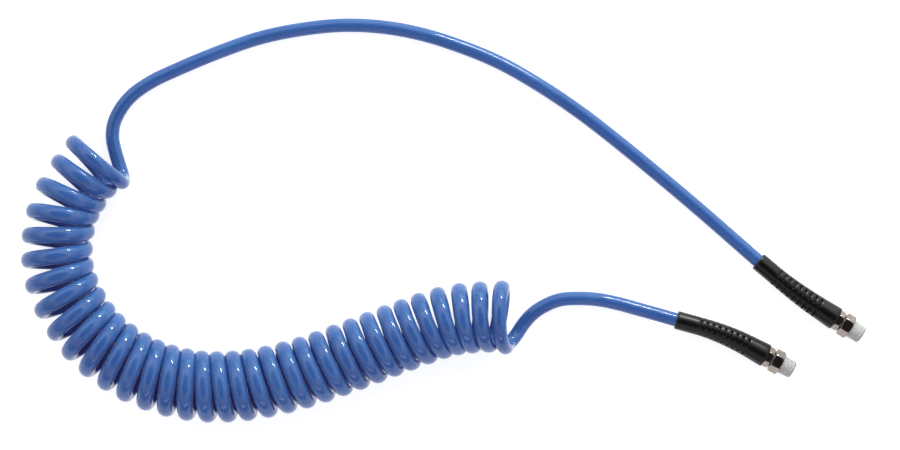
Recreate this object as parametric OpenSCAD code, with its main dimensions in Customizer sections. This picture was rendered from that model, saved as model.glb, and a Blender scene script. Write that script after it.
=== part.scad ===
// Coiled polyurethane air hose with an anti-kink sleeve and a male swivel fitting at each end.
// Millimetres, +Z up, lying on the plane z = 0. The supply end has the long tail, the tool end the short one.

/* [Hose] */
// Outside diameter of the hose
hose_d = 10; // [9:0.5:10.5]
// Bore of the hose
hose_bore = 6.5; // [6:0.5:7]
// Outside diameter of the coil
coil_d = 51.6; // [46:0.1:60]
// Sides of the straight runs of hose
hose_sides = 10; // [8:1:12]
// Sides of the coil's envelope
coil_sides = 16; // [12:4:24]

/* [Anti-kink sleeve] */
// Length of the plain part at the sleeve's mouth
mouth_len = 16; // [10:1:20]
// Length of the ribbed part, along its bend
ribbed_len = 40; // [32:1:48]
// Length of the plain part over the ferrule
root_len = 14; // [14:1:20]
// Outside diameter at the mouth
mouth_d = 13.2; // [12.8:0.2:14]
// Outside diameter where the root part starts
shoulder_d = 15.6; // [15.2:0.2:16.4]
// Outside diameter at the root's end
root_d = 17; // [16.6:0.2:18]
// Number of ribs
rib_count = 9; // [6:1:10]
// Length of one rib
rib_len = 2.9; // [2:0.2:3.2]
// Thickness of the sleeve's core over the hose, between the ribs
core_wall = 0.9; // [0.6:0.1:1.2]
// Clearance between the sleeve and the hose
sleeve_gap = 0.05; // [0.02:0.01:0.1]

/* [Ferrule and stem] */
// Outside diameter of the crimped ferrule
ferrule_d = 13.4; // [12.8:0.2:14]
// Length of the ferrule
ferrule_len = 13; // [11:0.5:13]
// Diameter of the stem's barbs
barb_d = 7.1; // [6.9:0.1:7.3]
// Number of barbs
barb_count = 3; // [2:1:4]
// Width across the flats of the fixed hexagon
collar_af = 13; // [12:1:14]
// Length of the fixed hexagon
collar_len = 4.5; // [3:0.5:6]
// Diameter of the journal that the adaptor turns on
journal_d = 9; // [8.6:0.1:9.2]
// Air passage through the stem
stem_bore = 4.5; // [4:0.5:5]

/* [Swivel adaptor] */
// Width across the flats of the turning hexagon
swivel_af = 15; // [14:1:17]
// Length of the turning hexagon
swivel_len = 7.5; // [7:0.5:9]
// Length of the threaded end
thread_len = 9.5; // [9:0.5:12]
// Crest diameter of the thread under its coating
thread_d = 13; // [12.9:0.1:13.1]
// Pitch of the thread
thread_pitch = 1.337; // [1.2:0.001:1.4]
// Depth of the thread
thread_depth = 0.856; // [0.7:0.001:0.9]
// Thickness of the sealing coat over the crests
coat = 0.08; // [0.05:0.01:0.1]
// Radial clearance of the journal in the adaptor
running_gap = 0.05; // [0.03:0.01:0.08]
// Thickness of the thrust washer
washer_t = 0.45; // [0.3:0.05:0.6]

/* [Hidden] */
$fn = 64;

hose_r = hose_d / 2;
coil_r = coil_d / 2;
sleeve_bore_r = hose_r + sleeve_gap;
core_r = hose_r + core_wall;
sleeve_len = mouth_len + ribbed_len + root_len;
journal_r = journal_d / 2;
socket_r = journal_r + running_gap;
hex_to_round = 1 / cos(30);

// stations along a fitting, counted from the end of its sleeve
washer_x = collar_len;
swivel_x = washer_x + washer_t + 0.05;
thread_x = swivel_x + swivel_len;
tip_x = thread_x + thread_len;
socket_end_x = swivel_x + 9.5;
journal_end_x = socket_end_x - 0.5;
ring_x = swivel_x + 3;
seal_x = swivel_x + 6.2;

// the fittings lie on the widest corner of the turning hexagon
fitting_z = swivel_af / 2 * hex_to_round + 0.14;
// mouth of each sleeve, the way it points from the hose, and the bend of its ribbed part
supply_mouth = [226, -29, fitting_z];
supply_heading = -40;
supply_bend = 7;
tool_mouth = [167, -71.3, fitting_z];
tool_heading = -15.5;
tool_bend = 13;
// length of hose that stands out of each sleeve
stub = 3;

// axis of the coil from its supply end to its tool end, one point for each equal share of the turns
coil_route = [[-246, 48], [-272, 9], [-276, -36], [-256, -77], [-223, -104], [-185, -117],
              [-146, -118], [-106, -110], [-68, -97], [-31, -83], [6, -71], [45, -68]];
// the long tail, from the supply sleeve to the coil
supply_route = [[213, -17.5, 7.5], [184, 8, 5.5], [155, 32.5, 5], [127, 55.5, 5], [98, 78, 5],
                [69, 97.5, 5], [40, 114, 5], [11, 126, 5], [-18, 135, 5], [-47, 140, 5],
                [-75, 141, 5], [-104, 138, 5], [-133, 132, 5], [-162, 122, 5], [-191, 110, 5],
                [-212, 100, 5], [-226, 90, 5], [-234, 80, 5], [-238.5, 70, 5], [-239.5, 60, 5],
                [-237.5, 50, 5], [-234.5, 40, 5.5]];
// the short tail, from the tool sleeve to the coil
tool_route = [[155.5, -68, 8], [141, -64, 6.5], [126.5, -60, 5.5], [112, -57, 5], [98, -56, 5],
              [83, -57, 5], [70, -62.5, 5], [62, -68.5, 5], [56.5, -75, 5], [50, -82, 6]];

function heading(a) = [cos(a), sin(a), 0];
function unit(v) = v / norm(v);
function lift(p, z) = [p[0], p[1], z];
function spline(a, b, c, d, t) =
    0.5 * (2 * b + (c - a) * t + (2 * a - 5 * b + 4 * c - d) * t * t + (3 * b - a - 3 * c + d) * t * t * t);
// a smooth run through the points, with a number of steps from each one to the next
function run_through(p, steps) =
    let (n = len(p),
         q = concat([2 * p[0] - p[1]], p, [2 * p[n - 1] - p[n - 2]]))
    concat([for (i = [0 : n - 2], k = [0 : steps - 1])
                spline(q[i], q[i + 1], q[i + 2], q[i + 3], k / steps)],
           [p[n - 1]]);
function direction_at(p, i) = unit(p[min(i + 1, len(p) - 1)] - p[max(i - 1, 0)]);

// a closed tube along a path, square to it at every ring; the first ring is square to the given way
module tube(path, r, sides, first) {
    rings = [for (i = [0 : len(path) - 1])
        let (along = i == 0 ? first : direction_at(path, i),
             side = unit(cross(along, [0, 0, 1])),
             up = cross(side, along))
        for (k = [0 : sides - 1])
            path[i] + r * (cos(360 * (k + 0.5) / sides) * side + sin(360 * (k + 0.5) / sides) * up)];
    last = (len(path) - 1) * sides;
    walls = [for (i = [0 : len(path) - 2], k = [0 : sides - 1])
        let (a = i * sides + k, b = i * sides + (k + 1) % sides)
        each [[a, b, b + sides], [a, b + sides, a + sides]]];
    start_cap = [for (k = [sides - 1 : -1 : 0]) k];
    end_cap = [for (k = [0 : sides - 1]) last + k];
    polyhedron(rings, concat(walls, [start_cap], [end_cap]), convexity = 10);
}

// the coil's envelope, with its flats at the coil's radius, one hose radius longer than its axis at both ends
module hose_coil() {
    axis = [for (p = run_through(coil_route, 2)) lift(p, coil_r)];
    n = len(axis);
    first = direction_at(axis, 0);
    last = direction_at(axis, n - 1);
    path = concat([axis[0] - hose_r * first], axis, [axis[n - 1] + hose_r * last]);
    color("royalblue") tube(path, coil_r / cos(180 / coil_sides), coil_sides, first);
}

module hose_run(mouth, way, route) {
    start = mouth - stub * heading(way);
    path = run_through(concat([start], route), 2);
    color("royalblue") tube(path, hose_r, hose_sides, -heading(way));
}
module supply_hose() { hose_run(supply_mouth, supply_heading, supply_route); }
module tool_hose() { hose_run(tool_mouth, tool_heading, tool_route); }

// everything in a fitting is drawn along +X from the sleeve's mouth and bends to the left;
// rolled half a turn about its length, it bends to the right
module at_mouth(mouth, way, roll) {
    translate(mouth) rotate([0, 0, way]) rotate([roll, 0, 0]) children();
}
function bend_radius(bend) = ribbed_len / (bend * PI / 180);
// moves on from the mouth to a place along the bend, then by a length along the way it points there
module along_bend(angle, bend, length) {
    translate([mouth_len, bend_radius(bend), 0]) rotate([0, 0, angle])
        translate([length, -bend_radius(bend), 0]) children();
}
module at_sleeve_end(bend) {
    along_bend(bend, bend, root_len) children();
}
module rod(r, from_x, to_x) {
    translate([from_x, 0, 0]) rotate([0, 90, 0]) cylinder(r = r, h = to_x - from_x);
}
module hexagon(af, from_x, to_x) {
    translate([from_x, 0, 0]) rotate([0, 90, 0]) rotate([0, 0, 30])
        cylinder(r = af / 2 * hex_to_round, h = to_x - from_x, $fn = 6);
}
// a round bar that follows the sleeve's bend, a hair thinner round the bend than in its straight parts,
// which run on a little way into it
module bent_rod(r, bend, before, after) {
    rod(r, -before, mouth_len + 0.5);
    translate([mouth_len, bend_radius(bend), 0]) rotate([0, 0, -90])
        rotate_extrude(angle = bend, $fn = 180) translate([bend_radius(bend), 0]) circle(r = r - 0.02);
    at_sleeve_end(bend) rod(r, -root_len - 0.5, after);
}

module hose_end(bend) {
    color("royalblue") difference() {
        bent_rod(hose_r, bend, stub, 0);
        bent_rod(hose_bore / 2, bend, stub + 1, 1);
    }
}

// the ribs stand on a thin core, so that the sleeve bends with the hose
module sleeve(bend) {
    rib_pitch = ribbed_len / rib_count;
    color([0.07, 0.07, 0.07]) difference() {
        union() {
            bent_rod(core_r, bend, 0, 0);
            rod(mouth_d / 2, 0, mouth_len);
            for (i = [0 : rib_count - 1]) {
                rib_r = (mouth_d + (shoulder_d - mouth_d) * (i + 0.5) / rib_count) / 2;
                along_bend(bend * (i + 0.5) / rib_count, bend, 0) rod(rib_r, -rib_len / 2, rib_len / 2);
            }
            at_sleeve_end(bend) rotate([0, 90, 0]) rotate_extrude()
                polygon([[0, -root_len], [shoulder_d / 2, -root_len], [shoulder_d / 2 + 0.1, -root_len / 2],
                         [root_d / 2, -4], [root_d / 2, -1], [root_d / 2 - 1, 0], [0, 0]]);
        }
        bent_rod(sleeve_bore_r, bend, 1, 1);
        at_sleeve_end(bend) rod(ferrule_d / 2, -ferrule_len - 0.5, 1);
    }
}

// crimped over the hose and the stem's barbs, with a lip that stops the hose
module ferrule(bend) {
    color("silver") at_sleeve_end(bend) difference() {
        rod(ferrule_d / 2, -ferrule_len, 0);
        rod(hose_r, -ferrule_len - 1, 1);
    }
}

module stem(bend) {
    barb_len = (ferrule_len - 1) / barb_count;
    color("silver") at_sleeve_end(bend) difference() {
        union() {
            rod(hose_bore / 2, -ferrule_len, 1);
            for (i = [0 : barb_count - 1]) translate([-ferrule_len + i * barb_len, 0, 0]) rotate([0, 90, 0])
                cylinder(r1 = hose_bore / 2, r2 = barb_d / 2, h = barb_len - 0.6);
            hexagon(collar_af, 0, collar_len);
            rod(journal_r, collar_len - 1, journal_end_x);
        }
        rod(stem_bore / 2, -ferrule_len - 1, journal_end_x + 1);
        ring_groove(ring_x, 1.2, journal_r - 0.7);
        ring_groove(seal_x, 1.5, journal_r - 0.95);
    }
}
// a square groove cut round the journal down to a floor radius
module ring_groove(from_x, width, floor_r) {
    difference() {
        rod(journal_r + 1, from_x, from_x + width);
        rod(floor_r, from_x - 1, from_x + width + 1);
    }
}

module washer(bend) {
    color("dimgray") at_sleeve_end(bend) difference() {
        rod(collar_af / 2 - 0.3, washer_x, washer_x + washer_t);
        rod(journal_r + 0.02, washer_x - 1, washer_x + washer_t + 1);
    }
}

// round section rubber ring that seals the journal in the adaptor's socket
module o_ring(bend) {
    section_r = 0.48;
    color("black") at_sleeve_end(bend) translate([seal_x + 0.75, 0, 0]) rotate([0, 90, 0])
        rotate_extrude() translate([socket_r - 0.02 - section_r, 0]) circle(r = section_r, $fn = 32);
}

// square wire ring that keeps the adaptor on the journal
module snap_ring(bend) {
    color("gray") at_sleeve_end(bend) difference() {
        rod(journal_r + 0.45, ring_x + 0.1, ring_x + 1.1);
        rod(journal_r - 0.65, ring_x - 1, ring_x + 2);
    }
}

// one side of the thread's outline, from the hexagon to the tip, as [radius, x]
function thread_turns() = floor((thread_len - 1.4) / thread_pitch);
function thread_outline() =
    [for (i = [0 : thread_turns() - 1])
        let (x = thread_x + 0.5 + i * thread_pitch)
        each [[thread_d / 2, x], [thread_d / 2, x + thread_pitch * 0.25],
              [thread_d / 2 - thread_depth, x + thread_pitch * 0.55],
              [thread_d / 2 - thread_depth, x + thread_pitch * 0.7]]];
function thread_end_x() = thread_x + 0.5 + thread_turns() * thread_pitch;

module adaptor(bend) {
    tip_r = thread_d / 2 - 0.9;
    color("silver") at_sleeve_end(bend) difference() {
        union() {
            hexagon(swivel_af, swivel_x, thread_x);
            rotate([0, 90, 0]) rotate_extrude()
                polygon(concat([[0, thread_x - 1], [thread_d / 2, thread_x - 1]], thread_outline(),
                               [[thread_d / 2, thread_end_x()], [thread_d / 2, tip_x - 0.9],
                                [tip_r, tip_x], [0, tip_x]]));
        }
        rod(socket_r, swivel_x - 1, socket_end_x);
        rod(stem_bore / 2 + 0.75, socket_end_x - 1, tip_x + 1);
        rod(journal_r + 0.6, ring_x - 0.1, ring_x + 1.3);
    }
}

// coat of sealing compound that fills the thread and stands just proud of its crests
module sealant(bend) {
    color("white") at_sleeve_end(bend) rotate([0, 90, 0]) rotate_extrude()
        polygon(concat(thread_outline(),
                       [[thread_d / 2, thread_end_x()], [thread_d / 2 + coat, thread_end_x()],
                        [thread_d / 2 + coat, thread_x + 0.5]]));
}

module supply_hose_end() { at_mouth(supply_mouth, supply_heading, 0) hose_end(supply_bend); }
module supply_sleeve() { at_mouth(supply_mouth, supply_heading, 0) sleeve(supply_bend); }
module supply_ferrule() { at_mouth(supply_mouth, supply_heading, 0) ferrule(supply_bend); }
module supply_stem() { at_mouth(supply_mouth, supply_heading, 0) stem(supply_bend); }
module supply_washer() { at_mouth(supply_mouth, supply_heading, 0) washer(supply_bend); }
module supply_o_ring() { at_mouth(supply_mouth, supply_heading, 0) o_ring(supply_bend); }
module supply_snap_ring() { at_mouth(supply_mouth, supply_heading, 0) snap_ring(supply_bend); }
module supply_adaptor() { at_mouth(supply_mouth, supply_heading, 0) adaptor(supply_bend); }
module supply_sealant() { at_mouth(supply_mouth, supply_heading, 0) sealant(supply_bend); }
module tool_hose_end() { at_mouth(tool_mouth, tool_heading, 180) hose_end(tool_bend); }
module tool_sleeve() { at_mouth(tool_mouth, tool_heading, 180) sleeve(tool_bend); }
module tool_ferrule() { at_mouth(tool_mouth, tool_heading, 180) ferrule(tool_bend); }
module tool_stem() { at_mouth(tool_mouth, tool_heading, 180) stem(tool_bend); }
module tool_washer() { at_mouth(tool_mouth, tool_heading, 180) washer(tool_bend); }
module tool_o_ring() { at_mouth(tool_mouth, tool_heading, 180) o_ring(tool_bend); }
module tool_snap_ring() { at_mouth(tool_mouth, tool_heading, 180) snap_ring(tool_bend); }
module tool_adaptor() { at_mouth(tool_mouth, tool_heading, 180) adaptor(tool_bend); }
module tool_sealant() { at_mouth(tool_mouth, tool_heading, 180) sealant(tool_bend); }

hose_coil();
supply_hose();
tool_hose();
supply_hose_end();
supply_sleeve();
supply_ferrule();
supply_stem();
supply_washer();
supply_o_ring();
supply_snap_ring();
supply_adaptor();
supply_sealant();
tool_hose_end();
tool_sleeve();
tool_ferrule();
tool_stem();
tool_washer();
tool_o_ring();
tool_snap_ring();
tool_adaptor();
tool_sealant();
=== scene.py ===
from math import ceil, cos, pi, radians, sin

import bpy
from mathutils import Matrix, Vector, noise


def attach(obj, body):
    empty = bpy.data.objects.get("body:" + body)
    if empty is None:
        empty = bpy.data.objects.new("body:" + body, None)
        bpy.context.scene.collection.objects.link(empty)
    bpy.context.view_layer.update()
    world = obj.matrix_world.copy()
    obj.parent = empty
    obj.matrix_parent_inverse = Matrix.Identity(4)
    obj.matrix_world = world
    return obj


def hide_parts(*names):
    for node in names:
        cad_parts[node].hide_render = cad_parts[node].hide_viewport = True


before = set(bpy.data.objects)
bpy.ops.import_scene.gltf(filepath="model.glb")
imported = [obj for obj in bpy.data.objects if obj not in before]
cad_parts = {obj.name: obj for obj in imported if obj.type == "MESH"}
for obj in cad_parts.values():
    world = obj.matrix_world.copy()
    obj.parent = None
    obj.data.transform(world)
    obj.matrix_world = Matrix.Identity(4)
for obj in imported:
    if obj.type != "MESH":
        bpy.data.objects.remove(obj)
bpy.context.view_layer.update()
scene = bpy.context.scene
mm = 0.001
up = Vector((0, 0, 1))

view = {
    "aim": (4, -3, 10),      # mm, what the middle of the picture looks at
    "height": 2500,          # mm above that
    "lens": 138.9,           # mm
    "sensor": 36,            # mm wide
    "reach": (0.05, 20),     # m, nearest and farthest that it sees
}


# looks straight down, with +Y up the picture
def makeCamera():
    lens = bpy.data.cameras.new("camera")
    lens.lens = view["lens"]
    lens.sensor_width = view["sensor"]
    lens.clip_start, lens.clip_end = view["reach"]
    camera = bpy.data.objects.new("camera", lens)
    x, y, z = view["aim"]
    camera.location = (x * mm, y * mm, (z + view["height"]) * mm)
    scene.collection.objects.link(camera)
    scene.camera = camera


makeCamera()
print("camera made")

# the line that each end follows: its sleeve, bent only where it is ribbed, then its fitting
sleeveLine = {"mouth": 16, "ribbed": 40, "root": 14}    # mm along the sleeve
sleeveLength = sum(sleeveLine.values())
endHeight = 8.8                                         # mm, the fittings' axes above the floor
ends = {                                                # mm, and degrees from +X, counterclockwise
    "supply": {"at": (226, -29), "heading": -40.0, "bend": 7.0},
    "tool": {"at": (167, -71.3), "heading": -15.5, "bend": -13.0},
}


# position in mm, and direction, at s from the mouth of that end's sleeve
def alongEnd(side, s):
    end = ends[side]
    bend = radians(end["bend"])
    radius = sleeveLine["ribbed"] / bend
    into = s - sleeveLine["mouth"]
    turned = bend * min(max(into / sleeveLine["ribbed"], 0), 1)
    past = max(into - sleeveLine["ribbed"], 0)
    x = min(s, sleeveLine["mouth"]) + radius * sin(turned) + past * cos(turned)
    y = radius * (1 - cos(turned)) + past * sin(turned)
    h = radians(end["heading"])
    startX, startY = end["at"]
    at = Vector((startX + x * cos(h) - y * sin(h), startY + x * sin(h) + y * cos(h), endHeight))
    return at, Vector((cos(h + turned), sin(h + turned), 0))


hose = {
    "outside": 10.0,        # mm
    "coilRadius": 21.0,     # mm, of the hose's centreline round the coil's axis
    "axisHeight": 25.8,     # mm
    "turns": 33.5,
    "across": 4.8,          # mm, half the hose's width towards the coil's axis, flattened by coiling
    "along": 5.75,          # mm, half its width along the coil's axis
    "ovalTurns": 0.6,       # share of a turn in which it goes from round to oval
    "entrySlide": 5.5,      # mm, how far along the axis the first turn starts beyond its place
    "entrySwell": 3.2,      # mm, and how far outside the coil's radius
    "entryTurns": 0.35,     # over that share of a turn
    "standSlide": 2.4,      # mm, how far the last turn stands off along the axis
    "standAt": 0.5,         # turns before the coil's end
    "standTurns": 0.45,     # over that share of a turn to each side
    "exitSlide": -1.4,      # mm, how far along the axis the coil's end is drawn back
    "exitSwell": 1.6,       # mm, and how far it is outside the coil's radius
    "exitTurns": 0.5,       # over that share of a turn
    "perTurn": 16,          # route points for each turn
    "fine": 3,              # rings from each of them to the next
    "ringGap": 2.6,         # mm, most between rings on the tails
    "endStep": 5,           # mm between route points inside the sleeves
    "sides": 28,
}
# coil axis from the supply end: x, y, how far the turns yaw, how far their tops lean, mm
coilAxis = [
    (-246, 48, 3, 1.5), (-272, 9, -1, 1.5), (-276, -36, 0.8, 1.5), (-256, -77, 0.2, 1),
    (-223, -104, 0.2, 1), (-185, -117, -0.2, 1), (-146, -118, -0.6, 0.5), (-106, -110, -0.4, 0),
    (-68, -97, 0, -0.8), (-31, -83, 0, -1.8), (6, -71, 0, -3.1), (45, -68, 1.5, -3.7),
]
# the tails from their sleeves to the coil, mm
supplyTail = [
    (213, -17.5, 7.5), (184, 8, 5.5), (155, 32.5, 5), (127, 55.5, 5), (98, 78, 5), (69, 97.5, 5),
    (40, 114, 5), (11, 126, 5), (-18, 135, 5), (-47, 140, 5), (-75, 141, 5), (-104, 138, 5),
    (-133, 132, 5), (-162, 122, 5), (-191, 110, 5), (-212, 100, 5), (-226, 90, 5), (-234, 80, 5),
    (-238.5, 70, 5), (-239.5, 60, 5), (-237.5, 50, 5), (-234.5, 40, 5.2), (-231.5, 31, 8.5),
]
toolTail = [
    (155.5, -68, 8), (141, -64, 6.5), (126.5, -60, 5.5), (112, -57, 5), (98, -56, 5), (83, -57, 5),
    (70, -62.5, 5), (62, -68.5, 5), (56.5, -75, 5), (51.5, -82.5, 6.5), (46.5, -88.5, 11),
]


# smooth step from 0 to 1
def eased(t):
    return t * t * (3 - 2 * t)


# a smooth curve through the rows, at u rows from the first
def splineAt(rows, u):
    i = min(int(u), len(rows) - 2)
    t = u - i
    a, b, c, d = (rows[max(0, min(len(rows) - 1, i + k))] for k in (-1, 0, 1, 2))
    if i == 0:
        a = [2 * p - q for p, q in zip(rows[0], rows[1])]
    if i == len(rows) - 2:
        d = [2 * p - q for p, q in zip(rows[-1], rows[-2])]
    return [0.5 * (2 * q + (r - p) * t + (2 * p - 5 * q + 4 * r - w) * t * t
                   + (3 * q - p - 3 * r + w) * t ** 3)
            for p, q, r, w in zip(a, b, c, d)]


# centreline of the hose, and the coil's axis beside it, after that many turns
def coilPoint(phase):
    last = len(coilAxis) - 1
    u = phase / hose["turns"] * last
    nearby = 0.02           # rows to each side, that give the axis its direction
    x, y, yaw, lean = splineAt(coilAxis, u)
    before = splineAt(coilAxis, max(u - nearby, 0))
    after = splineAt(coilAxis, min(u + nearby, last))
    way = Vector((after[0] - before[0], after[1] - before[1], 0)).normalized()
    inner = Vector((-way.y, way.x, 0))
    axis = Vector((x, y, hose["axisHeight"]))
    turned = 2 * pi * phase
    left = hose["turns"] - phase
    entering = max(1 - phase / hose["entryTurns"], 0) ** 2
    leaving = max(1 - left / hose["exitTurns"], 0) ** 2
    standing = eased(max(1 - abs(left - hose["standAt"]) / hose["standTurns"], 0))
    slide = (yaw * cos(turned) + lean * sin(turned) + hose["entrySlide"] * entering
             + hose["standSlide"] * standing + hose["exitSlide"] * leaving)
    radius = hose["coilRadius"] + hose["entrySwell"] * entering + hose["exitSwell"] * leaving
    return axis + radius * cos(turned) * inner + hose["coilRadius"] * sin(turned) * up + slide * way, axis


# route points of the whole hose, with the coil's axis and how oval the hose is at each
def hoseRoute():
    step = hose["endStep"]
    rows = [(alongEnd("supply", s)[0], None, 0) for s in range(sleeveLength, -step, -step)]
    rows += [(Vector(p), None, 0) for p in supplyTail]
    for i in range(int(hose["turns"] * hose["perTurn"]) + 1):
        phase = i / hose["perTurn"]
        point, axis = coilPoint(phase)
        nearEnd = min(1, min(phase, hose["turns"] - phase) / hose["ovalTurns"])
        rows.append((point, axis, eased(nearEnd)))
    rows += [(Vector(p), None, 0) for p in reversed(toolTail)]
    rows += [(alongEnd("tool", s)[0], None, 0) for s in range(-step, sleeveLength + 1, step)]
    return rows


# the route made fine, as a centripetal curve through its points
def refine(rows):
    points = [r[0] for r in rows]
    points = [2 * points[0] - points[1]] + points + [2 * points[-1] - points[-2]]
    fine = []
    for i in range(1, len(points) - 2):
        a, b, c, d = points[i - 1:i + 3]
        ta = 0
        tb = ta + (b - a).length ** 0.5
        tc = tb + (c - b).length ** 0.5
        td = tc + (d - c).length ** 0.5
        here, there = rows[i - 1], rows[i]
        inCoil = here[1] is not None and there[1] is not None
        steps = hose["fine"] if inCoil else max(1, ceil((c - b).length / hose["ringGap"]))
        for k in range(steps):
            t = tb + (tc - tb) * k / steps
            a1 = a * (tb - t) / (tb - ta) + b * (t - ta) / (tb - ta)
            a2 = b * (tc - t) / (tc - tb) + c * (t - tb) / (tc - tb)
            a3 = c * (td - t) / (td - tc) + d * (t - tc) / (td - tc)
            b1 = a1 * (tc - t) / (tc - ta) + a2 * (t - ta) / (tc - ta)
            b2 = a2 * (td - t) / (td - tb) + a3 * (t - tb) / (td - tb)
            point = b1 * (tc - t) / (tc - tb) + b2 * (t - tb) / (tc - tb)
            axis = here[1].lerp(there[1], k / steps) if inCoil else here[1]
            fine.append((point, axis, here[2] + (there[2] - here[2]) * k / steps))
    fine.append(rows[-1])
    return fine


# a direction made square to the hose's way
def squared(direction, way):
    return (direction - direction.dot(way) * way).normalized()


# the direction away from the coil's axis at each ring, carried on along the tails without a twist
def outwardFrom(rings, ways):
    outward = [None if axis is None else squared(point - axis, way)
               for (point, axis, _), way in zip(rings, ways)]
    inCoil = [i for i, away in enumerate(outward) if away is not None]
    first, last = inCoil[0], inCoil[-1]
    for i in range(first - 1, -1, -1):
        outward[i] = squared(outward[i + 1], ways[i])
    for i in range(last + 1, len(rings)):
        outward[i] = squared(outward[i - 1], ways[i])
    return outward


# faces between rings of points that follow each other in one list
def bandFaces(pairs, sides):
    faces = []
    for i, j in pairs:
        for k in range(sides):
            n = (k + 1) % sides
            faces.append((i * sides + k, i * sides + n, j * sides + n, j * sides + k))
    return faces


def meshFrom(name, verts, faces, uvs=None):
    data = bpy.data.meshes.new(name)
    data.from_pydata([v * mm for v in verts], [], faces)
    data.validate()
    data.update()
    data.polygons.foreach_set("use_smooth", [True] * len(data.polygons))
    if uvs:
        layer = data.uv_layers.new(name="run")
        for loop in data.loops:
            layer.data[loop.index].uv = uvs[loop.vertex_index]
    piece = bpy.data.objects.new(name, data)
    scene.collection.objects.link(piece)
    return piece


# one tube from fitting to fitting, with its centreline and its length in metres
def makeHose():
    rings = refine(hoseRoute())
    count = len(rings)
    ways = [(rings[min(i + 1, count - 1)][0] - rings[max(i - 1, 0)][0]).normalized() for i in range(count)]
    outward = outwardFrom(rings, ways)
    sides = hose["sides"]
    half = hose["outside"] / 2
    verts, uvs, gone = [], [], 0.0
    for i, (point, _, oval) in enumerate(rings):
        if i:
            gone += (point - rings[i - 1][0]).length
        beside = ways[i].cross(outward[i])
        across = half + (hose["across"] - half) * oval
        along = half + (hose["along"] - half) * oval
        for k in range(sides):
            angle = 2 * pi * k / sides
            verts.append(point + across * cos(angle) * outward[i] + along * sin(angle) * beside)
            uvs.append((gone * mm, k / sides))      # metres along, share of the way round
    faces = bandFaces([(i, i + 1) for i in range(count - 1)], sides)
    faces.append(tuple(range(sides - 1, -1, -1)))
    faces.append(tuple((count - 1) * sides + k for k in range(sides)))
    piece = meshFrom("blueHose", verts, faces, uvs)
    return piece, [r[0] * mm for r in rings], gone * mm


blueHose, hoseLine, hoseLength = makeHose()
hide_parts("hose_coil", "supply_hose", "tool_hose", "supply_hose_end", "tool_hose_end")
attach(blueHose, "hose")
print(f"hose made, {hoseLength:.3f} m along its centreline")


# sRGB hex to linear
def hexColour(code):
    channels = [int(code[i:i + 2], 16) / 255 for i in (1, 3, 5)]
    return (*[c / 12.92 if c <= 0.04045 else ((c + 0.055) / 1.055) ** 2.4 for c in channels], 1.0)


def addNode(tree, kind, settings=None, values=None, links=None):
    node = tree.nodes.new(kind)
    for name, value in (settings or {}).items():
        setattr(node, name, value)
    for name, value in (values or {}).items():
        node.inputs[name].default_value = value
    for name, source in (links or {}).items():
        tree.links.new(source, node.inputs[name])
    return node


def startMaterial(name):
    material = bpy.data.materials.new(name)
    material.use_nodes = True
    material.node_tree.nodes.clear()
    return material, material.node_tree


# how many marks of that size in mm lie in a metre, which is what a noise takes as its scale
def perMetre(size):
    return 1000 / size


# a shader whose colour and gloss follow one noise, and its relief another or the same
def finishNodes(tree, finish, colourNoise, glossNoise, reliefNoise):
    tint = addNode(tree, "ShaderNodeValToRGB", links={"Fac": colourNoise.outputs["Fac"]})
    for stop, (at, code) in zip(tint.color_ramp.elements, finish["colours"]):
        stop.position = at
        stop.color = hexColour(code)
    smoothest, roughest = finish["roughness"]
    gloss = addNode(tree, "ShaderNodeMapRange", values={"To Min": smoothest, "To Max": roughest},
                    links={"Value": glossNoise.outputs["Fac"]})
    links = {"Base Color": tint.outputs["Color"], "Roughness": gloss.outputs["Result"]}
    if "relief" in finish:
        strength, depth = finish["relief"]
        relief = addNode(tree, "ShaderNodeBump", values={"Strength": strength, "Distance": depth * mm},
                         links={"Height": reliefNoise.outputs["Fac"]})
        links["Normal"] = relief.outputs["Normal"]
    shader = addNode(tree, "ShaderNodeBsdfPrincipled", values=finish.get("shader"), links=links)
    addNode(tree, "ShaderNodeOutputMaterial", links={"Surface": shader.outputs[0]})


# polyurethane tube, extruded: deep blue that light sinks into, a wet gloss, a faint painted glow, and faint
# lines along it
# the lines are coarser than real ones, so that they show
extrudedPolyurethane = {
    "name": "blue extruded polyurethane",
    "lineGap": 0.6, "lineLength": 71.4,                     # mm
    "cloud": 35.7, "detail": 2.0,                           # mm across the faint clouds in its colour
    "colours": [(0.3, "#29558F"), (0.7, "#315F99")],
    "roughness": (0.045, 0.085),
    "relief": (0.04, 0.06),                                 # strength, mm
    "shader": {
        "IOR": 1.5, "Specular IOR Level": 0.4,
        "Subsurface Weight": 0.7, "Subsurface Radius": (0.25, 0.5, 1.0), "Subsurface Scale": 0.009,
        "Emission Color": (0.3, 0.25, 1.0, 1.0), "Emission Strength": 0.035,    # painted glow: faint blue light given off all over, so its shaded gaps between turns look less dark, in place of light passed on inside it
    },
}


def tubeMaterial(finish):
    material, tree = startMaterial(finish["name"])
    stretch = (perMetre(finish["lineLength"]), round(pi * hose["outside"] / finish["lineGap"]), 1)
    run = addNode(tree, "ShaderNodeUVMap", {"uv_map": "run"})
    drawn = addNode(tree, "ShaderNodeMapping", values={"Scale": stretch},
                    links={"Vector": run.outputs["UV"]})
    lines = addNode(tree, "ShaderNodeTexNoise", values={"Scale": 1.0, "Detail": finish["detail"]},
                    links={"Vector": drawn.outputs[0]})
    place = addNode(tree, "ShaderNodeTexCoord")
    cloud = addNode(tree, "ShaderNodeTexNoise",
                    values={"Scale": perMetre(finish["cloud"]), "Detail": finish["detail"]},
                    links={"Vector": place.outputs["Object"]})
    finishNodes(tree, finish, cloud, lines, lines)
    return material


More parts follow.
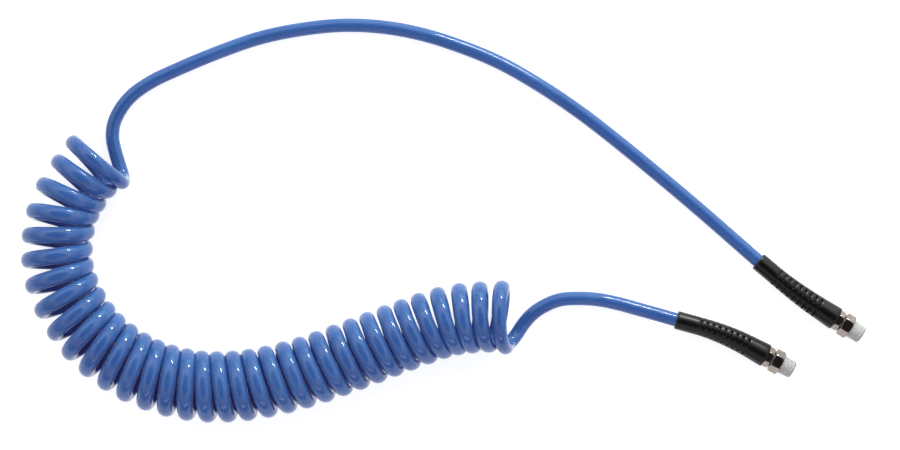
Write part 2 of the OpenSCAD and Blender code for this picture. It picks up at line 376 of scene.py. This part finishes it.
def mottledMaterial(finish):
    material, tree = startMaterial(finish["name"])
    place = addNode(tree, "ShaderNodeTexCoord")
    mottle = addNode(tree, "ShaderNodeTexNoise",
                     values={"Scale": perMetre(finish["mottle"]), "Detail": finish["detail"]},
                     links={"Vector": place.outputs["Object"]})
    grain = mottle
    if "grain" in finish:
        grain = addNode(tree, "ShaderNodeTexNoise",
                        values={"Scale": perMetre(finish["grain"]), "Detail": finish["grainDetail"]},
                        links={"Vector": place.outputs["Object"]})
    finishNodes(tree, finish, mottle, mottle, grain)
    return material


# black rubber from a spark-eroded mould: a soft sheen, cloudy where it has been handled, over a fine grain
mouldedRubber = {
    "name": "black moulded rubber",
    "mottle": 7.14, "detail": 3.0,                          # mm
    "grain": 0.385, "grainDetail": 2.0,                     # mm
    "colours": [(0.35, "#040404"), (0.75, "#080808")],
    "roughness": (0.26, 0.35),
    "relief": (0.25, 0.08),                                 # strength, mm
    "shader": {"IOR": 1.52, "Specular IOR Level": 0.3, "Specular Tint": (1.0, 0.96, 0.97, 1.0)},
}
# nickel plate over turned brass: bright and faintly warm, not quite even
nickelPlatedBrass = {
    "name": "nickel-plated turned brass",
    "mottle": 2.38, "detail": 4.0,                          # mm
    "colours": [(0.3, "#8D837C"), (0.7, "#A69C95")],
    "roughness": (0.09, 0.17),
    "relief": (0.08, 0.05),                                 # strength, mm
    "shader": {"Metallic": 1.0},
}
# sealing compound brushed on and dried: white, matt and slightly lumpy
driedSealant = {
    "name": "dried white thread sealant",
    "mottle": 1.111, "detail": 4.0,                         # mm
    "colours": [(0.3, "#9A9898"), (0.65, "#BAB8B8")],
    "roughness": (0.45, 0.65),
    "relief": (0.4, 0.15),                                  # strength, mm
    "shader": {"IOR": 1.45},
}
# acetal from a polished mould: an even, greasy grey
mouldedAcetal = {
    "name": "grey moulded acetal",
    "mottle": 0.8, "detail": 3.0,                           # mm
    "colours": [(0.0, "#3A3A3C"), (1.0, "#4C4C4E")],
    "roughness": (0.35, 0.5),
}
# nitrile rubber from a polished mould: black with a dull gloss
mouldedNitrile = {
    "name": "black nitrile rubber",
    "mottle": 0.8, "detail": 3.0,                           # mm
    "colours": [(0.0, "#101011"), (1.0, "#1C1C1D")],
    "roughness": (0.3, 0.45),
}
# drawn aluminium tube, crimped: pale and satin
crimpedAluminium = {
    "name": "crimped aluminium",
    "mottle": 0.8, "detail": 3.0,                           # mm
    "colours": [(0.0, "#A8A9AB"), (1.0, "#C2C3C5")],
    "roughness": (0.25, 0.4),
    "shader": {"Metallic": 1.0},
}
# spring steel stamped from strip and oiled: dark and smooth
oiledSpringSteel = {
    "name": "oiled spring steel",
    "mottle": 0.8, "detail": 3.0,                           # mm
    "colours": [(0.0, "#4A4A4C"), (1.0, "#66666A")],
    "roughness": (0.25, 0.4),
    "shader": {"Metallic": 1.0},
}

polyurethane = tubeMaterial(extrudedPolyurethane)
rubber = mottledMaterial(mouldedRubber)
nickel = mottledMaterial(nickelPlatedBrass)
sealant = mottledMaterial(driedSealant)
hiddenFinishes = {
    "ferrule": mottledMaterial(crimpedAluminium),
    "washer": mottledMaterial(mouldedAcetal),
    "o_ring": mottledMaterial(mouldedNitrile),
    "snap_ring": mottledMaterial(oiledSpringSteel),
}
blueHose.data.materials.append(polyurethane)
print("materials made")


# closed solid round that end's line: each ring is (s, radius) or (s, function of the angle)
def around(side, name, rings, sides):
    verts = []
    for s, radius in rings:
        at, way = alongEnd(side, s)
        right = way.cross(up)
        for k in range(sides):
            angle = 2 * pi * k / sides
            r = radius(angle) if callable(radius) else radius
            verts.append(at + r * (cos(angle) * up + sin(angle) * right))
    count = len(rings)
    return meshFrom(name, verts, bandFaces([(i, (i + 1) % count) for i in range(count)], sides))


chamfer = {
    "inside": 0.15,         # mm, how far within the flats each end's round starts
    "outside": 0.05,        # mm, how far beyond the corners it is when it has left them
    "slope": 0.58,          # mm along for each mm out, 30 degrees
    "steps": 5,
}


# radius of a hexagon with a flat on top, cut down to a round limit at its chamfers
def hexRadius(flats, limit):
    def radius(angle):
        fromFlat = (angle + pi / 6) % (pi / 3) - pi / 6
        return min(flats / 2 / cos(fromFlat), limit)
    return radius


# a hexagon with both ends chamfered, closed by its hole
def hexRings(flats, start, end, hole):
    least = flats / 2 - chamfer["inside"]
    most = flats / 2 / cos(pi / 6) + chamfer["outside"]
    rings = []
    for i in range(chamfer["steps"] + 1):
        limit = least + (most - least) * i / chamfer["steps"]
        rings.append((start + (limit - least) * chamfer["slope"], hexRadius(flats, limit)))
    mirrored = [(end - (s - start), r) for s, r in reversed(rings)]
    return [(start, hole)] + rings + mirrored + [(end, hole)]


sleeve = {
    "bore": 5.05,                                           # mm, radius round the hose
    "slots": 9, "slotRows": 4,
    "slotFrom": 17.0, "slotPitch": 4.5, "slotWidth": 1.35,  # mm along the sleeve
    "slotFloor": 5.25,                                      # mm, radius
    "slotArc": 58, "slotEnd": 2.5,                          # degrees round it, and how soft its ends are
    "webAt": {"supply": 12, "tool": 26},                    # degrees round it, a rib between two rows
    "socket": 6.65, "socketDepth": 13, "socketLead": 0.5,   # mm, radius round the ferrule, and how deep
    "sides": 144,
}
# mm from the mouth, radius
sleeveOutline = [(0, 6.2), (0.5, 6.6), (1.5, 6.65), (15, 6.65), (22, 6.75), (34, 7.15), (45, 7.6),
                 (56, 7.95), (60, 8.1), (66, 8.42), (69.2, 8.5), (69.75, 8.35), (70, 7.95)]
# the rounded edge of a slot: mm past the edge, mm deep, and at last down to the slot's floor
slotEdge = [(-0.3, 0), (-0.1, 0.08), (0, 0.35), (0.08, 99)]
# mm from the mouth, where the bore has rings to follow the bend
boreStations = [*range(52, 12, -4), 0]


def outlineAt(s):
    for (s0, r0), (s1, r1) in zip(sleeveOutline, sleeveOutline[1:]):
        if s <= s1:
            return r0 + (r1 - r0) * (s - s0) / (s1 - s0)
    return sleeveOutline[-1][1]


# the sleeve's radius at s, where its slots are that deep
def slottedRadius(side, s, deep):
    full = outlineAt(s)
    deepest = min(deep, full - sleeve["slotFloor"])
    row = 2 * pi / sleeve["slotRows"]

    def radius(angle):
        fromMiddle = abs((angle - radians(sleeve["webAt"][side])) % row - row / 2)
        inSlot = (radians(sleeve["slotArc"]) / 2 - fromMiddle) / radians(sleeve["slotEnd"]) + 0.5
        return full - deepest * min(max(inSlot, 0), 1)
    return radius


def makeSleeve(side):
    starts = [sleeve["slotFrom"] + i * sleeve["slotPitch"] for i in range(sleeve["slots"])]
    width = sleeve["slotWidth"]
    reach = -slotEdge[0][0]
    stations = [(s, 0) for s, _ in sleeveOutline
                if not any(-reach < s - start < width + reach for start in starts)]
    for start in starts:
        stations += [(start + past, deep) for past, deep in slotEdge]
        stations += [(start + width - past, deep) for past, deep in reversed(slotEdge)]
    stations.sort()
    rings = [(s, slottedRadius(side, s, deep)) for s, deep in stations]
    socketFloor = sleeveLength - sleeve["socketDepth"]
    rings += [(sleeveLength, sleeve["socket"]), (socketFloor, sleeve["socket"]),
              (socketFloor - sleeve["socketLead"], sleeve["bore"])]
    rings += [(s, sleeve["bore"]) for s in boreStations]
    piece = around(side, side + "Sleeve", rings, sleeve["sides"])
    piece.data.materials.append(rubber)
    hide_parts(side + "_sleeve")
    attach(piece, "hose")
    return piece


stem = {
    "flats": 13.0, "length": 4.5,                           # mm, its hexagon
    "journal": 4.5, "bore": 2.25, "barb": 3.2,              # mm, radii
    "journalEnd": 14, "barbEnd": 12,                        # mm out of the sleeve's end, mm into the hose
    "sides": 72,
}


def makeStem(side):
    base = sleeveLength
    tip = base + stem["journalEnd"]
    root = base - stem["barbEnd"]
    rings = hexRings(stem["flats"], base, base + stem["length"], stem["journal"])[1:]
    rings += [(tip, stem["journal"]), (tip, stem["bore"]), (root, stem["bore"]), (root, stem["barb"]),
              (base, stem["barb"])]
    piece = around(side, side + "Stem", rings, stem["sides"])
    piece.data.materials.append(nickel)
    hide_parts(side + "_stem")
    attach(piece, "hose")
    return piece


adaptor = {
    "flats": 15.0, "start": 5.0, "length": 7.5,             # mm, its hexagon, from the sleeve's end
    "threadLength": 9.5,                                    # mm
    "neck": [(0, 6.0), (0.5, 5.7)],                         # mm from the hexagon, radius
    "bareTip": [(1.4, 5.6), (1.0, 6.1), (0.9, 6.15), (0.1, 5.5), (0, 5.35)],    # mm before the tip, radius
    "socket": 4.55, "socketEnd": 14.5,                      # mm, radius and how far from the sleeve's end
    "bore": 3.0, "boreChamfer": 0.3,                        # mm, radius
    "sides": 96,
}


def makeAdaptor(side):
    start = sleeveLength + adaptor["start"]
    end = start + adaptor["length"]
    tip = end + adaptor["threadLength"]
    socketEnd = sleeveLength + adaptor["socketEnd"]
    rings = hexRings(adaptor["flats"], start, end, adaptor["socket"])[:-1]
    rings += [(end + s, r) for s, r in adaptor["neck"]]
    rings += [(tip - s, r) for s, r in adaptor["bareTip"]]
    rings += [(tip, adaptor["bore"] + adaptor["boreChamfer"]),
              (tip - adaptor["boreChamfer"], adaptor["bore"]),
              (socketEnd, adaptor["bore"]), (socketEnd, adaptor["socket"])]
    piece = around(side, side + "Adaptor", rings, adaptor["sides"])
    piece.data.materials.append(nickel)
    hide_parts(side + "_adaptor")
    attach(piece, side + "_fitting")
    return piece


# the sealing coat on the taper thread, whose helix still shows through it
coat = {
    "gap": 0.05, "bareThread": 1.0,                         # mm from the hexagon, mm short of the tip
    "radius": 6.57, "radiusAt": 2, "taper": 0.9 / 32,       # mm, where it is that wide, and how it narrows
    "pitch": 1.337, "perPitch": 8,                          # mm, and rings for each turn of the thread
    "ridgeFrom": 0.14, "ridgeFlank": 0.2,                   # shares of the pitch
    "grooveDepth": 0.28,                                    # mm, what the coat leaves of the grooves
    "fadeIn": 1.2, "fadeOut": 0.8,                          # mm, over which the grooves start and stop
    "lump": 0.06, "lumpsAlong": 0.9, "lumpsRound": 3,       # mm high, and how close they are
    "rimAtHexagon": 5.9, "rimAtTip": 5.7,                   # mm, radii that close it
    "sides": 72,
}


def coatRadius(s, length):
    fade = min(1, s / coat["fadeIn"], (length - s) / coat["fadeOut"])
    crest = coat["radius"] - (s - coat["radiusAt"]) * coat["taper"]

    def radius(angle):
        turn = (s / coat["pitch"] - angle / (2 * pi)) % 1
        ridge = max(0, min(1, (abs(turn - 0.5) - coat["ridgeFrom"]) / coat["ridgeFlank"]))
        across = Vector((0, cos(angle), sin(angle))) * coat["lumpsRound"]
        lump = noise.noise(Vector((s * coat["lumpsAlong"], 0, 0)) + across)
        return crest - (1 - ridge) * coat["grooveDepth"] * fade + coat["lump"] * lump
    return radius


def makeSealant(side):
    start = sleeveLength + adaptor["start"] + adaptor["length"] + coat["gap"]
    length = adaptor["threadLength"] - coat["bareThread"]
    steps = int(length / coat["pitch"] * coat["perPitch"])
    rings = [(start + length * i / steps, coatRadius(length * i / steps, length)) for i in range(steps + 1)]
    rings += [(start + length, coat["rimAtTip"]), (start, coat["rimAtHexagon"])]
    piece = around(side, side + "Sealant", rings, coat["sides"])
    piece.data.materials.append(sealant)
    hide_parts(side + "_sealant")
    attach(piece, side + "_fitting")
    return piece


for side in ends:
    makeSleeve(side)
    makeStem(side)
    makeAdaptor(side)
    makeSealant(side)
    for node, finish in hiddenFinishes.items():
        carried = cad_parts[f"{side}_{node}"]
        carried.data.materials.clear()
        carried.data.materials.append(finish)
    print(side + " end made")

# matt paper, even and bright: it gives off light as well, so that the hose casts next to no shadow on it
paper = {
    "name": "matt white paper",
    "half": 3.0,                                            # m
    "colour": "#B4B4B4", "glow": 0.77,
    "roughness": (0.85, 0.95), "mottle": 16.7, "detail": 2.0,     # mm
}


def makeFloor():
    data = bpy.data.meshes.new("floor")
    half = paper["half"]
    corners = [(-half, -half, 0), (half, -half, 0), (half, half, 0), (-half, half, 0)]
    data.from_pydata(corners, [], [(0, 1, 2, 3)])
    floor = bpy.data.objects.new("floor", data)
    scene.collection.objects.link(floor)
    material, tree = startMaterial(paper["name"])
    place = addNode(tree, "ShaderNodeTexCoord")
    mottle = addNode(tree, "ShaderNodeTexNoise",
                     values={"Scale": perMetre(paper["mottle"]), "Detail": paper["detail"]},
                     links={"Vector": place.outputs["Object"]})
    smoothest, roughest = paper["roughness"]
    gloss = addNode(tree, "ShaderNodeMapRange", values={"To Min": smoothest, "To Max": roughest},
                    links={"Value": mottle.outputs["Fac"]})
    shader = addNode(tree, "ShaderNodeBsdfPrincipled",
                     values={"Base Color": hexColour(paper["colour"]),
                             "Emission Color": hexColour("#FFFFFF"), "Emission Strength": paper["glow"]},
                     links={"Roughness": gloss.outputs["Result"]})
    addNode(tree, "ShaderNodeOutputMaterial", links={"Surface": shader.outputs[0]})
    data.materials.append(material)


# pale studio walls under a darker ceiling, brighter towards +Y
sky = {
    "stops": [                                              # how high, from 0 level to 1 overhead; colour
        (0.0, (0.5, 0.5, 0.5)), (0.3, (0.6, 0.6, 0.606)), (0.55, (1.2, 1.2, 1.212)),
        (0.77, (1.5, 1.5, 1.515)), (0.87, (0.12, 0.12, 0.1212)), (0.93, (0.03, 0.03, 0.035)),
    ],
    "strength": (0.5, 1.75),                                # towards -Y, towards +Y
}


def makeSky():
    world = bpy.data.worlds.new("studio")
    world.use_nodes = True
    scene.world = world
    tree = world.node_tree
    tree.nodes.clear()
    place = addNode(tree, "ShaderNodeTexCoord")
    split = addNode(tree, "ShaderNodeSeparateXYZ", links={"Vector": place.outputs["Generated"]})
    ramp = addNode(tree, "ShaderNodeValToRGB", links={"Fac": split.outputs["Z"]})
    stops = ramp.color_ramp.elements
    stops[0].position = sky["stops"][0][0]
    stops[1].position = sky["stops"][-1][0]
    for at, _ in sky["stops"][1:-1]:
        stops.new(at)
    for stop, (_, colour) in zip(stops, sky["stops"]):
        stop.color = (*colour, 1)
    dim, bright = sky["strength"]
    side = addNode(tree, "ShaderNodeMapRange",
                   values={"From Min": -1.0, "From Max": 1.0, "To Min": dim, "To Max": bright},
                   links={"Value": split.outputs["Y"]})
    glow = addNode(tree, "ShaderNodeBackground",
                   links={"Color": ramp.outputs["Color"], "Strength": side.outputs["Result"]})
    addNode(tree, "ShaderNodeOutputWorld", links={"Surface": glow.outputs[0]})


# each shines at the middle of the floor: which way it is, m away, m wide and high, watts, linear colour
lamps = {
    "bright box": {"way": (0.36, 0.86, 0.42), "away": 2.2, "size": (0.6, 0.24), "power": 24,
                   "colour": (1, 1, 1)},
    "cool wall": {"way": (0.35, 0.93, 0.2), "away": 2.6, "size": (2.4, 0.9), "power": 17,
                  "colour": (0.5, 1.0, 0.7)},
    "broad fill": {"way": (0.1, -0.92, 0.38), "away": 2.4, "size": (1.8, 0.4), "power": 7,
                   "colour": (0.62, 0.6, 1.0)},
}


def makeLamp(name, lamp):
    light = bpy.data.lights.new(name, "AREA")
    light.shape = "RECTANGLE"
    light.size, light.size_y = lamp["size"]
    light.energy = lamp["power"]
    light.color = lamp["colour"]
    thing = bpy.data.objects.new(name, light)
    thing.location = Vector(lamp["way"]).normalized() * lamp["away"]
    thing.rotation_mode = "QUATERNION"
    thing.rotation_quaternion = (-thing.location).to_track_quat("-Z", "Y")
    scene.collection.objects.link(thing)


makeFloor()
makeSky()
for name, lamp in lamps.items():
    makeLamp(name, lamp)
scene.view_settings.view_transform = "Standard"
print("light and floor made")
